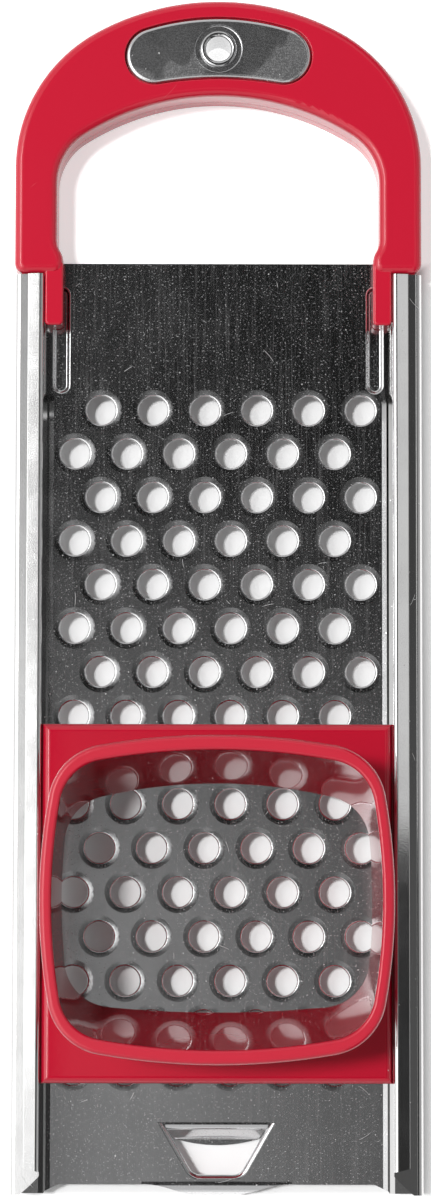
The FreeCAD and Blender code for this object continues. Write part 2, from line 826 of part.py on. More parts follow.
def foot_in_channel():
    """Outer part of a foot, low enough to pass under the rail's flange."""
    points = [
        (foot_outer_x - 1.5, leg_end_y + 0.3),
        (foot_outer_x - 1.5, foot_end_y + 1.0),
        (foot_channel_x, foot_end_y + 1.0),
        (foot_channel_x, leg_end_y + 0.3),
    ]
    return flat_prism(points, [0, 1.0, 2.0, 0], foot_lift, foot_channel_top_z)


def plate_slot():
    """Room for the plate's top edge and its tangs inside the front half of the handle."""
    top = slot_gap
    low = handle_part_z - 1.0
    g = slot_gap
    strip = box(-tang_outer_x - g, tang_outer_x + g, foot_end_y - 2, floor_top_y + g, low, foot_lift)
    rails = box(foot_outer_x, leg_outer_x + 1, foot_end_y - 2, rail_top_y + g, low, foot_lift)
    tang = flat_prism(
        [
            (tang_inner_x - g, floor_top_y - 1.0),
            (tang_outer_x + g, floor_top_y - 1.0),
            (tang_outer_x + g, tang_top_y + g),
            (tang_inner_x - g, tang_top_y + g),
        ],
        [0, 0, 2.5, 2.5],
        low,
        top,
    )
    return [strip, rails, mirrored(rails)] + both_sides(tang)


def handle_front_shell():
    shell = handle_face(handle_part_z).extrude(vec(0, 0, handle_front_z - handle_part_z))
    shell = shell.makeFillet(handle_edge_round, edges_at_height(shell, handle_front_z))
    shell = shell.makeFillet(parting_round, edges_at_height(shell, handle_part_z))
    shell = shell.fuse(both_sides(foot_block()) + both_sides(foot_in_channel()))
    shell = shell.cut(plate_slot())
    shell = shell.cut(cavity_prism(handle_part_z - 1, front_cavity_top_z))
    bosses = [rod(eyelet_boss, 0, eyelet_y, handle_part_z, front_cavity_top_z + 0.5)]
    for x, y in peg_places:
        bosses.append(rod(peg_boss_radius, x, y, handle_part_z, front_cavity_top_z + 0.5))
    shell = shell.fuse(bosses)
    pocket = Part.Face(inlay_outline(inlay_gap, inlay_top_z - inlay_thick - eyelet_gap)).extrude(vec(0, 0, 5))
    cutters = [pocket, rod(eyelet_tube + eyelet_gap, 0, eyelet_y, -over, 2 * over)]
    for x, y in peg_places:
        cutters.append(rod(peg_socket_radius, x, y, -over, peg_top_z + 0.4))
    for sign in (1, -1):
        for y in screw_ys:
            cutters.append(rod(screw_hole_radius, sign * screw_x, y, -over, screw_tip_z + 0.5))
    shell = shell.cut(cutters).removeSplitter()
    outline = inlay_outline(inlay_gap, handle_front_z)
    lip_edges = [e for e in edges_at_height(shell, handle_front_z) if e.distToShape(outline)[0] < eps]
    return shell.makeFillet(pocket_edge_round, lip_edges)


def handle_back_shell():
    shell = handle_face(lowest_z).extrude(vec(0, 0, handle_part_z - lowest_z))
    shell = shell.makeFillet(handle_back_round, edges_at_height(shell, lowest_z))
    shell = shell.makeFillet(parting_round, edges_at_height(shell, handle_part_z))
    shell = shell.cut(cavity_prism(back_cavity_floor_z, handle_part_z + 1))
    bosses = [rod(back_recess_radius + 1.6, 0, eyelet_y, lowest_z + 1.0, back_cavity_floor_z + 1.2)]
    bosses.append(rod(eyelet_boss, 0, eyelet_y, lowest_z + 1.0, handle_part_z))
    for x, y in peg_places:
        bosses.append(rod(peg_boss_radius, x, y, back_cavity_floor_z - 0.5, handle_part_z))
        bosses.append(rod(peg_radius, x, y, back_cavity_floor_z - 0.5, peg_top_z))
    shell = shell.fuse(bosses)
    cutters = [
        rod(eyelet_tube + eyelet_gap, 0, eyelet_y, -2 * over, over),
        rod(back_recess_radius, 0, eyelet_y, lowest_z - 1, back_recess_z),
    ]
    for sign in (1, -1):
        for y in screw_ys:
            cutters.append(rod(screw_clear_radius, sign * screw_x, y, -2 * over, over))
            cutters.append(rod(screw_recess_radius, sign * screw_x, y, lowest_z - 1, screw_head_floor_z))
    return shell.cut(cutters).removeSplitter()


def handle_inlay_plate():
    low = inlay_top_z - inlay_thick
    plate = Part.Face(inlay_outline(0.0, low)).extrude(vec(0, 0, inlay_thick))
    plate = plate.makeFillet(inlay_edge_round, edges_at_height(plate, inlay_top_z))
    well = rod(well_radius, 0, eyelet_y, inlay_top_z - well_depth, inlay_top_z + 1)
    well = well.makeFillet(0.4, edges_at_height(well, inlay_top_z - well_depth))
    plate = plate.cut([well, rod(eyelet_tube + eyelet_gap, 0, eyelet_y, low - 1, inlay_top_z + 1)])
    return plate


def hanging_eyelet():
    flange_z = inlay_top_z - well_depth + eyelet_gap
    top = eyelet_top_z
    low = eyelet_bottom_z
    back_z = back_recess_z - back_ring_thick - 2 * eyelet_gap
    e = eyelet_edge
    d = e * (1 - math.sqrt(0.5))
    b = eyelet_bore
    rim = eyelet_rim
    profile = [
        ((b, low + e), (b, top - e)),
        ((b, top - e), (b + d, top - d), (b + e, top)),
        ((b + e, top), (rim - e, top)),
        ((rim - e, top), (rim - d, top - d), (rim, top - e)),
        ((rim, top - e), (rim, flange_z)),
        ((rim, flange_z), (eyelet_tube, flange_z)),
        ((eyelet_tube, flange_z), (eyelet_tube, back_z)),
        ((eyelet_tube, back_z), (rim, back_z)),
        ((rim, back_z), (rim, low + 0.3)),
        ((rim, low + 0.3), (rim - 0.1, low + 0.1), (rim - 0.3, low)),
        ((rim - 0.3, low), (b + e, low)),
        ((b + e, low), (b + d, low + d), (b, low + e)),
    ]
    shape = turned(profile)
    shape.translate(vec(0, eyelet_y, 0))
    return shape


def eyelet_back_ring():
    top = back_recess_z - eyelet_gap
    ring = rod(back_ring_radius, 0, eyelet_y, top - back_ring_thick, top)
    ring = ring.makeFillet(0.3, edges_at_height(ring, top - back_ring_thick))
    return ring.cut(rod(eyelet_tube + eyelet_gap, 0, eyelet_y, top - 3, top + 1))


def leg_screw(x, y):
    head_low = screw_head_floor_z - screw_head_thick
    head = rod(screw_head_radius, x, y, head_low, screw_head_floor_z)
    head = head.makeFillet(0.7, edges_at_height(head, head_low))
    tip = Part.makeCone(screw_shank_radius, 0.4, 1.2, vec(x, y, screw_tip_z - 1.2))
    shank = rod(screw_shank_radius, x, y, screw_head_floor_z - 0.3, screw_tip_z - 1.2)
    half_l = screw_cross_length / 2
    half_w = screw_cross_width / 2
    z0 = head_low - 0.5
    z1 = head_low + screw_cross_depth
    cross = box(x - half_l, x + half_l, y - half_w, y + half_w, z0, z1)
    cross = cross.fuse(box(x - half_w, x + half_w, y - half_l, y + half_l, z0, z1))
    return head.fuse([shank, tip]).cut(cross).removeSplitter()


def leg_screws():
    return [leg_screw(sign * screw_x, y) for sign in (1, -1) for y in screw_ys]


# Hopper


def point_from(centre, towards, distance):
    """Point at a distance from one point in the direction of another."""
    share = distance / math.dist(centre, towards)
    return (centre[0] + (towards[0] - centre[0]) * share, centre[1] + (towards[1] - centre[1]) * share)


def barrel_corner(half_x, side_r, corner_r, half_y, end_r):
    """Start, middle and end of the corner arc between a bowed side and a bowed end."""
    side_c = (half_x - side_r, 0.0)
    end_c = (0.0, half_y - end_r)
    # the corner's centre is where two circles round the centres of the side and the end cross
    side_reach = side_r - corner_r
    end_reach = end_r - corner_r
    apart = math.dist(side_c, end_c)
    along = (side_reach**2 - end_reach**2 + apart**2) / (2 * apart)
    off = math.sqrt(side_reach**2 - along**2)
    ux = (end_c[0] - side_c[0]) / apart
    uy = (end_c[1] - side_c[1]) / apart
    centre = (side_c[0] + along * ux - off * uy, side_c[1] + along * uy + off * ux)
    start = point_from(side_c, centre, side_r)
    end = point_from(end_c, centre, end_r)
    chord_middle = (0.5 * (start[0] + end[0]), 0.5 * (start[1] + end[1]))
    return start, point_from(centre, chord_middle, corner_r), end


def barrel_wire(outline, z):
    """Rounded rectangle whose four sides bow outwards."""
    half_x, side_r, corner_r, upper, lower = outline
    a, m, b = barrel_corner(half_x, side_r, corner_r, *upper)
    c, n, d = barrel_corner(half_x, side_r, corner_r, *lower)

    def arc(*points):
        return Part.Arc(*[vec(x, y + hopper_centre_y + hopper_shape_y, z) for x, y in points]).toShape()

    def across(p):
        return (-p[0], p[1])

    def down(p):
        return (p[0], -p[1])

    def opposite(p):
        return (-p[0], -p[1])

    return Part.Wire(
        [
            arc(down(c), (half_x, 0), a),
            arc(a, m, b),
            arc(b, (0, upper[0]), across(b)),
            arc(across(b), across(m), across(a)),
            arc(across(a), (-half_x, 0), opposite(c)),
            arc(opposite(c), opposite(n), opposite(d)),
            arc(opposite(d), (0, -lower[0]), down(d)),
            arc(down(d), down(n), down(c)),
        ]
    )


def hopper_base():
    """Thick base with a runner along each side."""
    y0 = hopper_centre_y - hopper_base_half_y
    y1 = hopper_centre_y + hopper_base_half_y
    skirt = box(-hopper_skirt_half_x, hopper_skirt_half_x, y0, y1, hopper_lift, runner_under_z + 1)
    block = box(-hopper_base_half_x, hopper_base_half_x, y0, y1, runner_under_z, hopper_base_top_z)
    block = block.makeFillet(hopper_base_round, edges_at_height(block, hopper_base_top_z))
    runner = box(-runner_half_x, runner_half_x, y0, y1, runner_under_z, runner_top_z)
    ends = [e for e in runner.Edges if abs(e.BoundBox.ZLength - (runner_top_z - runner_under_z)) < 1e-4]
    runner = runner.makeFillet(1.5, ends)
    return block.fuse([skirt, runner]).removeSplitter()


def base_pockets():
    """Hollows in the underside of the base, with ribs between them."""
    width = (2 * pocket_half_x - (pocket_count - 1) * pocket_rib) / pocket_count
    pockets = []
    for i in range(pocket_count):
        x0 = -pocket_half_x + i * (width + pocket_rib)
        for y0, y1 in ((pocket_near_y, pocket_far_y), (-pocket_far_y, -pocket_near_y)):
            near = hopper_centre_y + y0
            far = hopper_centre_y + y1
            pockets.append(box(x0, x0 + width, near, far, -1.0, pocket_top_z))
    return pockets


def hopper_body():
    wall_foot = barrel_wire(wall_foot_outline, hopper_lift)
    wall_top = barrel_wire(wall_top_outline, hopper_top_z - rim_height / 2)
    wall = Part.makeLoft([wall_foot, wall_top], True, True)
    rim = Part.Face(barrel_wire(rim_outline, hopper_top_z - rim_height)).extrude(vec(0, 0, rim_height))
    rim = rim.makeFillet(rim_outer_round, edges_at_height(rim, hopper_top_z))
    rim = rim.makeFillet(rim_under_round, edges_at_height(rim, hopper_top_z - rim_height))
    base = hopper_base().cut(base_pockets())
    body = base.fuse([wall, rim]).removeSplitter()
    outlet = barrel_wire(outlet_outline, hopper_lift - 0.001)
    mouth_opening = barrel_wire(mouth_outline, hopper_top_z + 0.001)
    hollow = Part.makeLoft([outlet, mouth_opening], True, True)
    body = body.cut(hollow)
    mouth = Part.Face(barrel_wire(mouth_outline, hopper_top_z))
    inner = [e for e in edges_at_height(body, hopper_top_z) if e.distToShape(mouth)[0] < 0.1]
    return body.makeFillet(rim_inner_round, inner)


def save(name, solids):
    """Writes one node, moved so that the middle of the underside is the origin."""
    shape = solids[0] if len(solids) == 1 else Part.makeCompound(solids)
    shape.translate(vec(0, -middle_y, -lowest_z))
    shape.exportStep("parts/" + name + ".step")
    print(name, len(shape.Solids), shape.isValid(), round(shape.Volume, 1))


def main():
    save("grater_plate", [grater_plate()])
    save("handle_front_shell", [handle_front_shell()])
    save("handle_back_shell", [handle_back_shell()])
    save("handle_inlay_plate", [handle_inlay_plate()])
    save("hanging_eyelet", [hanging_eyelet()])
    save("eyelet_back_ring", [eyelet_back_ring()])
    save("leg_screws", leg_screws())
    save("hopper_body", [hopper_body()])


main()
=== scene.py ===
import math

import bmesh
import bpy
from mathutils import Euler, Matrix, Vector


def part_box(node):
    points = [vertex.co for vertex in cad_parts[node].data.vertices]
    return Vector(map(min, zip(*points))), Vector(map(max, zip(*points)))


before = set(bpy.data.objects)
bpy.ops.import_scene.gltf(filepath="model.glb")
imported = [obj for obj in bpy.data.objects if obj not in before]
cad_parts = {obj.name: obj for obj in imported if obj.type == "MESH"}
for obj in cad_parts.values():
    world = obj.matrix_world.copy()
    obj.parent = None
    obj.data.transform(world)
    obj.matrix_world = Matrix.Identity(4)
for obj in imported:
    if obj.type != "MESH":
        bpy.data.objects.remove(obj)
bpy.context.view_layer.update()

# Finishes, light and camera for a flat batter press: a perforated steel plate with folded rails, a glossy
# arched handle with a steel inlay and an eyelet, and a glossy hopper that slides on the rails.

bl_info = {
    "name": "Batter press finishes",
    "version": (1, 0, 0),
    "blender": (4, 5, 0),
    "location": "View3D > Sidebar > Batter press",
    "description": "Steel and plastic finishes, floor, light and camera for a batter press",
    "category": "Material",
}

MM = 0.001

PLATE = "grater_plate"
SHELLS = ("handle_front_shell", "handle_back_shell")
INLAY = "handle_inlay_plate"
EYELET = ("hanging_eyelet", "eyelet_back_ring")
SCREWS = "leg_screws"
HOPPER = "hopper_body"

# Distance from the plate's middle line at which the brushed field turns into the smoother rails
RAIL_EDGE = (44.6 * MM, 45.6 * MM)

# Steel of the rails, steel where it is scratched, and dust on the plastic
RAIL_STEEL = (0.70, 0.695, 0.685)
SCRATCHED_STEEL = (0.85, 0.85, 0.85)
DUST = (0.78, 0.72, 0.72)

# Small offset and roll of the camera against the plate's middle line
CAMERA_X = -0.4 * MM
CAMERA_ROLL = math.radians(0.11)

# Light nearly overhead: how wide it looks, and where it stands
HIGH_LIGHT_SPREAD = math.radians(7)
HIGH_LIGHT_FROM = (-0.34, 0.08, 1.0)


# Properties


class PressFinish(bpy.types.PropertyGroup):
    """Colours and grain of the press."""

    handle_red: bpy.props.FloatVectorProperty(
        name="Handle red",
        description="Colour of the handle's plastic",
        default=(0.53, 0.012, 0.034),
        size=3,
        min=0.0,
        max=1.0,
        subtype="COLOR",
    )
    hopper_red: bpy.props.FloatVectorProperty(
        name="Hopper red",
        description="Colour of the hopper's plastic",
        default=(0.46, 0.0065, 0.026),
        size=3,
        min=0.0,
        max=1.0,
        subtype="COLOR",
    )
    steel: bpy.props.FloatVectorProperty(
        name="Steel",
        description="Reflected colour of the sheet steel",
        default=(0.60, 0.60, 0.605),
        size=3,
        min=0.0,
        max=1.0,
        subtype="COLOR",
    )
    plate_roughness: bpy.props.FloatProperty(
        name="Plate roughness",
        description="Roughness of the perforated field",
        default=0.1,
        min=0.0,
        max=1.0,
        subtype="FACTOR",
    )
    grain_size: bpy.props.FloatProperty(
        name="Grain size",
        description="Size of the specks in the rolled sheet",
        default=0.45 * MM,
        min=0.05 * MM,
        unit="LENGTH",
    )


class PressStage(bpy.types.PropertyGroup):
    """Floor, light and camera."""

    floor_radius: bpy.props.FloatProperty(
        name="Floor radius", description="Radius of the round floor", default=3.0, min=0.5, unit="LENGTH"
    )
    floor_colour: bpy.props.FloatVectorProperty(
        name="Floor colour",
        description="Colour of the floor",
        default=(0.80, 0.80, 0.80),
        size=3,
        min=0.0,
        max=1.0,
        subtype="COLOR",
    )
    room_fill: bpy.props.FloatProperty(
        name="Room fill", description="Brightness of the light that comes from all round", default=0.12, min=0.0
    )
    left_box: bpy.props.FloatProperty(
        name="Left softbox", description="Brightness of the softbox on the left", default=1.2, min=0.0
    )
    right_box: bpy.props.FloatProperty(
        name="Right softbox", description="Brightness of the softbox on the right", default=0.8, min=0.0
    )
    strip_box: bpy.props.FloatProperty(
        name="Strip box", description="Brightness of the strip that the right rail mirrors", default=0.85, min=0.0
    )
    key_box: bpy.props.FloatProperty(
        name="Key light", description="Brightness of the narrow box high on the left", default=7.0, min=0.0
    )
    high_light: bpy.props.FloatProperty(
        name="High light", description="Brightness of the light nearly overhead", default=2.3, min=0.0
    )
    camera_height: bpy.props.FloatProperty(
        name="Camera height", description="Height of the camera over the floor", default=1.0068, unit="LENGTH"
    )
    camera_y: bpy.props.FloatProperty(
        name="Camera place", description="Place of the camera along the plate", default=-0.0839, unit="LENGTH"
    )
    camera_tilt: bpy.props.FloatProperty(
        name="Camera tilt",
        description="Tilt of the camera towards the handle",
        default=math.radians(4.7),
        subtype="ANGLE",
    )
    camera_lens: bpy.props.FloatProperty(
        name="Focal length", description="Focal length for a 36 mm frame", default=111.87, min=10.0
    )


# Node helpers


def add_node(tree, kind, x=0, y=0, **settings):
    """Adds one shader node and sets its properties and unlinked inputs."""
    node = tree.nodes.new(kind)
    node.location = (x, y)
    for key, value in settings.items():
        if key.startswith("in_"):
            name = key[3:].replace("_", " ")
            socket = node.inputs[int(name)] if name.isdigit() else node.inputs[name]
            socket.default_value = value
        else:
            setattr(node, key, value)
    return node


def math_node(tree, operation, first, second=None):
    """Math node with sockets or numbers as its inputs. Returns its output."""
    node = add_node(tree, "ShaderNodeMath", operation=operation)
    for socket, value in zip(node.inputs, (first, second)):
        if isinstance(value, bpy.types.NodeSocket):
            tree.links.new(value, socket)
        elif value is not None:
            socket.default_value = value
    return node.outputs[0]


def ramp(tree, value, low, high, to_low=0.0, to_high=1.0):
    """Smooth step of a value between two limits."""
    node = add_node(
        tree,
        "ShaderNodeMapRange",
        interpolation_type="SMOOTHSTEP",
        in_From_Min=low,
        in_From_Max=high,
        in_To_Min=to_low,
        in_To_Max=to_high,
    )
    tree.links.new(value, node.inputs["Value"])
    return node.outputs["Result"]


def fold(tree, operation, values):
    """Chain of math nodes over several sockets or numbers."""
    result = values[0]
    for value in values[1:]:
        result = math_node(tree, operation, result, value)
    return result


def total(tree, *values):
    """Sum of sockets and numbers."""
    return fold(tree, "ADD", values)


def product(tree, *values):
    """Product of sockets and numbers."""
    return fold(tree, "MULTIPLY", values)


def largest(tree, *values):
    """Largest of sockets and numbers."""
    return fold(tree, "MAXIMUM", values)


def inverted(tree, value):
    """One less a value."""
    return math_node(tree, "SUBTRACT", 1.0, value)


def magnitude(tree, value):
    """Value without its sign."""
    return math_node(tree, "ABSOLUTE", value)


def axes(tree, vector):
    """The three parts of a vector."""
    node = add_node(tree, "ShaderNodeSeparateXYZ")
    tree.links.new(vector, node.inputs["Vector"])
    return tuple(node.outputs[axis] for axis in "XYZ")


def band(tree, value, low, high, soft):
    """One between two limits, nought outside them, with soft flanks."""
    rise = ramp(tree, value, low - soft, low)
    fall = ramp(tree, value, high, high + soft)
    return math_node(tree, "SUBTRACT", rise, fall)


def noise(tree, vector, scale, detail=2.0, roughness=0.5):
    """Noise texture. Returns its value."""
    node = add_node(tree, "ShaderNodeTexNoise", in_Scale=scale, in_Detail=detail, in_Roughness=roughness)
    tree.links.new(vector, node.inputs["Vector"])
    return node.outputs["Fac"]


def mix_colour(tree, factor, first, second):
    """Mix of two colours, given as sockets or as values."""
    node = add_node(tree, "ShaderNodeMix", data_type="RGBA")
    inputs = [s for s in node.inputs if s.type == "RGBA"]
    for socket, value in ((node.inputs[0], factor), (inputs[0], first), (inputs[1], second)):
        if isinstance(value, bpy.types.NodeSocket):
            tree.links.new(value, socket)
        elif isinstance(value, (int, float)):
            socket.default_value = value
        else:
            socket.default_value = (*value[:3], 1.0)
    return next(s for s in node.outputs if s.type == "RGBA")


def new_group(name, inputs, outputs):
    """Empty shader node group with named inputs and outputs."""
    group = bpy.data.node_groups.new(name, "ShaderNodeTree")
    for label, kind, default in inputs:
        socket = group.interface.new_socket(name=label, in_out="INPUT", socket_type=kind)
        if default is not None:
            socket.default_value = default
    for label, kind in outputs:
        group.interface.new_socket(name=label, in_out="OUTPUT", socket_type=kind)
    start = add_node(group, "NodeGroupInput", -900, 0)
    end = add_node(group, "NodeGroupOutput", 900, 0)
    return group, start, end


def use_group(tree, name, **values):
    """Places a shared effect in a material and sets its inputs."""
    node = add_node(tree, "ShaderNodeGroup", node_tree=shared_group(name))
    for key, value in values.items():
        if isinstance(value, bpy.types.NodeSocket):
            tree.links.new(value, node.inputs[key])
        else:
            node.inputs[key].default_value = value
    return node


# Shared effects


def fine_grain_group():
    """Grain of two sizes, for height and for roughness."""
    group, start, end = new_group(
        "fine_grain",
        [
            ("Vector", "NodeSocketVector", None),
            ("Size", "NodeSocketFloat", 0.5 * MM),
            ("Stretch", "NodeSocketFloat", 1.0),
        ],
        [("Height", "NodeSocketFloat"), ("Clouds", "NodeSocketFloat")],
    )
    combine = add_node(group, "ShaderNodeCombineXYZ")
    inverse = math_node(group, "DIVIDE", 1.0, start.outputs["Size"])
    along = math_node(group, "DIVIDE", inverse, start.outputs["Stretch"])
    for axis, value in (("X", inverse), ("Y", along), ("Z", inverse)):
        group.links.new(value, combine.inputs[axis])
    stretch = add_node(group, "ShaderNodeVectorMath", operation="MULTIPLY")
    group.links.new(start.outputs["Vector"], stretch.inputs[0])
    group.links.new(combine.outputs["Vector"], stretch.inputs[1])
    group.links.new(noise(group, stretch.outputs["Vector"], 1.0, 3.0, 0.6), end.inputs["Height"])
    group.links.new(noise(group, stretch.outputs["Vector"], 0.04, 4.0, 0.55), end.inputs["Clouds"])
    return group


def specks_group():
    """Small round specks with room between them."""
    group, start, end = new_group(
        "specks",
        [
            ("Vector", "NodeSocketVector", None),
            ("Spacing", "NodeSocketFloat", 3.0 * MM),
            ("Size", "NodeSocketFloat", 0.12),
            ("Share", "NodeSocketFloat", 0.4),
        ],
        [("Mask", "NodeSocketFloat")],
    )
    cells = add_node(group, "ShaderNodeTexVoronoi", feature="F1")
    group.links.new(start.outputs["Vector"], cells.inputs["Vector"])
    group.links.new(math_node(group, "DIVIDE", 1.0, start.outputs["Spacing"]), cells.inputs["Scale"])
    split = add_node(group, "ShaderNodeSeparateColor")
    group.links.new(cells.outputs["Color"], split.inputs["Color"])
    reach = product(group, split.outputs["Green"], start.outputs["Size"])
    inside = math_node(group, "SUBTRACT", reach, cells.outputs["Distance"])
    dot = ramp(group, inside, -0.02, 0.03)
    chosen = math_node(group, "LESS_THAN", split.outputs["Red"], start.outputs["Share"])
    group.links.new(product(group, dot, chosen), end.inputs["Mask"])
    return group


def scratches_group():
    """Short fine scratches, one at most in each cell, each turned its own way about Z."""
    group, start, end = new_group(
        "scratches",
        [
            ("Vector", "NodeSocketVector", None),
            ("Spacing", "NodeSocketFloat", 9.0 * MM),
            ("Length", "NodeSocketFloat", 0.3),
            ("Width", "NodeSocketFloat", 0.008),
            ("Share", "NodeSocketFloat", 0.6),
            ("Turn", "NodeSocketFloat", 6.283),
        ],
        [("Mask", "NodeSocketFloat")],
    )
    inverse = math_node(group, "DIVIDE", 1.0, start.outputs["Spacing"])
    scale = add_node(group, "ShaderNodeVectorMath", operation="SCALE")
    group.links.new(start.outputs["Vector"], scale.inputs[0])
    group.links.new(inverse, scale.inputs["Scale"])
    cells = add_node(group, "ShaderNodeTexVoronoi", feature="F1", in_Scale=1.0)
    group.links.new(scale.outputs["Vector"], cells.inputs["Vector"])
    offset = add_node(group, "ShaderNodeVectorMath", operation="SUBTRACT")
    group.links.new(scale.outputs["Vector"], offset.inputs[0])
    group.links.new(cells.outputs["Position"], offset.inputs[1])
    split = add_node(group, "ShaderNodeSeparateColor")
    group.links.new(cells.outputs["Color"], split.inputs["Color"])
    turn = add_node(group, "ShaderNodeVectorRotate", rotation_type="Z_AXIS")
    group.links.new(offset.outputs["Vector"], turn.inputs["Vector"])
    group.links.new(product(group, split.outputs["Blue"], start.outputs["Turn"]), turn.inputs["Angle"])
    x, y, _ = axes(group, turn.outputs["Vector"])
    across = magnitude(group, math_node(group, "SUBTRACT", y, product(group, x, x, 0.6)))
    thin = ramp(group, math_node(group, "SUBTRACT", start.outputs["Width"], across), -0.006, 0.004)
    length = product(group, start.outputs["Length"], split.outputs["Green"])
    short = ramp(group, math_node(group, "SUBTRACT", length, magnitude(group, x)), 0.0, 0.08)
    chosen = math_node(group, "LESS_THAN", split.outputs["Red"], start.outputs["Share"])
    group.links.new(product(group, thin, short, chosen), end.inputs["Mask"])
    return group


def edge_wear_group():
    """Mask along convex and concave edges, from a rounded normal, broken up by noise."""
    group, start, end = new_group(
        "edge_wear",
        [
            ("Vector", "NodeSocketVector", None),
            ("Radius", "NodeSocketFloat", 0.4 * MM),
            ("Breakup", "NodeSocketFloat", 300.0),
        ],
        [("Mask", "NodeSocketFloat")],
    )
    rounded = add_node(group, "ShaderNodeBevel", samples=4)
    group.links.new(start.outputs["Radius"], rounded.inputs["Radius"])
    plain = add_node(group, "ShaderNodeNewGeometry")
    dot = add_node(group, "ShaderNodeVectorMath", operation="DOT_PRODUCT")
    group.links.new(rounded.outputs["Normal"], dot.inputs[0])
    group.links.new(plain.outputs["Normal"], dot.inputs[1])
    edge = ramp(group, dot.outputs["Value"], 0.99, 0.86)
    node = add_node(group, "ShaderNodeTexNoise", in_Detail=3.0)
    group.links.new(start.outputs["Vector"], node.inputs["Vector"])
    group.links.new(start.outputs["Breakup"], node.inputs["Scale"])
    worn = ramp(group, node.outputs["Fac"], 0.42, 0.62)
    group.links.new(product(group, edge, worn), end.inputs["Mask"])
    return group


def shared_group(name):
    """The shared effect of that name, built when it is first used."""
    if name not in bpy.data.node_groups:
        builders = {
            "fine_grain": fine_grain_group,
            "specks": specks_group,
            "scratches": scratches_group,
            "edge_wear": edge_wear_group,
        }
        builders[name]()
    return bpy.data.node_groups[name]


# Materials


def new_material(name):
    """Material with a Principled BSDF, and the piece's own coordinates."""
    material = bpy.data.materials.new(name)
    material.use_nodes = True
    tree = material.node_tree
    tree.nodes.clear()
    output = add_node(tree, "ShaderNodeOutputMaterial", 1400, 0)
    shader = add_node(tree, "ShaderNodeBsdfPrincipled", 1100, 0)
    tree.links.new(shader.outputs["BSDF"], output.inputs["Surface"])
    place = add_node(tree, "ShaderNodeTexCoord", -1200, 0)
    return material, tree, shader, place.outputs["Object"]


def bump(tree, shader, height, strength, distance):
    """Feeds a height into the shader's normal."""
    node = add_node(tree, "ShaderNodeBump", 900, -400, in_Strength=strength, in_Distance=distance)
    tree.links.new(height, node.inputs["Height"])
    tree.links.new(node.outputs["Normal"], shader.inputs["Normal"])


def sheet_steel(finish):
    """Cold-rolled stainless sheet: a dark, finely speckled mirror, with smoother rails."""
    material, tree, shader, place = new_material("rolled_sheet_steel")
    grain = use_group(tree, "fine_grain", Vector=place, Size=finish.grain_size)
    brushed = use_group(tree, "fine_grain", Vector=place, Size=0.3 * MM, Stretch=70.0)
    specks = use_group(tree, "specks", Vector=place, Spacing=1.5 * MM, Size=0.14, Share=0.22)
    scratches = use_group(tree, "scratches", Vector=place, Spacing=13.0 * MM, Length=0.2, Width=0.003, Share=0.3)
    marks = largest(tree, specks.outputs["Mask"], scratches.outputs["Mask"])
    rail = ramp(tree, magnitude(tree, axes(tree, place)[0]), *RAIL_EDGE)
    field = inverted(tree, rail)
    patches = ramp(tree, grain.outputs["Clouds"], 0.35, 0.6, 0.8, 1.0)
    grainy = product(tree, ramp(tree, grain.outputs["Height"], 0.59, 0.68), patches, field)
    streaks = product(tree, ramp(tree, brushed.outputs["Height"], 0.5, 0.7), field)

    haze = ramp(tree, grain.outputs["Clouds"], 0.35, 0.7, 0.0, 0.03)
    rough = total(
        tree,
        haze,
        finish.plate_roughness,
        product(tree, grainy, 0.06),
        product(tree, marks, 0.3),
        product(tree, rail, -0.02),
    )
    tree.links.new(rough, shader.inputs["Roughness"])

    colour = mix_colour(tree, product(tree, rail, 0.5), finish.steel, RAIL_STEEL)
    colour = mix_colour(tree, product(tree, marks, 0.3), colour, SCRATCHED_STEEL)
    tree.links.new(colour, shader.inputs["Base Color"])

    dull = total(tree, product(tree, grainy, 0.4), product(tree, streaks, 0.07), product(tree, marks, 0.2))
    tree.links.new(inverted(tree, dull), shader.inputs["Metallic"])

    waves = product(tree, noise(tree, place, 45.0, 1.0), 8.0)
    lines = product(tree, brushed.outputs["Height"], 0.4)
    bump(tree, shader, total(tree, grain.outputs["Height"], lines, waves), 0.06, 0.05 * MM)
    return material


def bright_steel(finish, name, roughness, marks_share, bloom=0.0):
    """Polished steel of the small fittings. Bloom is a dull film that lies lower right on the inlay."""
    material, tree, shader, place = new_material(name)
    grain = use_group(tree, "fine_grain", Vector=place, Size=0.35 * MM)
    specks = use_group(tree, "specks", Vector=place, Spacing=1.8 * MM, Size=0.12, Share=marks_share)
    haze = ramp(tree, grain.outputs["Clouds"], 0.35, 0.65, 0.0, 0.05)
    rough = total(tree, haze, roughness, product(tree, specks.outputs["Mask"], 0.3))
    tree.links.new(rough, shader.inputs["Roughness"])
    colour = mix_colour(tree, specks.outputs["Mask"], finish.steel, SCRATCHED_STEEL)
    tree.links.new(colour, shader.inputs["Base Color"])
    shader.inputs["Metallic"].default_value = 1.0
    if bloom:
        low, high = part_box(INLAY)
        x, y, _ = axes(tree, place)
        lower = math_node(tree, "SUBTRACT", 0.5 * (low[1] + high[1]), y)
        stain = total(tree, noise(tree, place, 55.0, 2.0), product(tree, lower, 25.0), product(tree, x, 3.0))
        film = ramp(tree, stain, 0.53, 0.56, 0.45, 1.0)
        film = product(tree, film, ramp(tree, grain.outputs["Height"], 0.4, 0.66, 0.6, 1.4), bloom)
        tree.links.new(inverted(tree, film), shader.inputs["Metallic"])
    bump(tree, shader, grain.outputs["Height"], 0.06, 0.03 * MM)
    return material


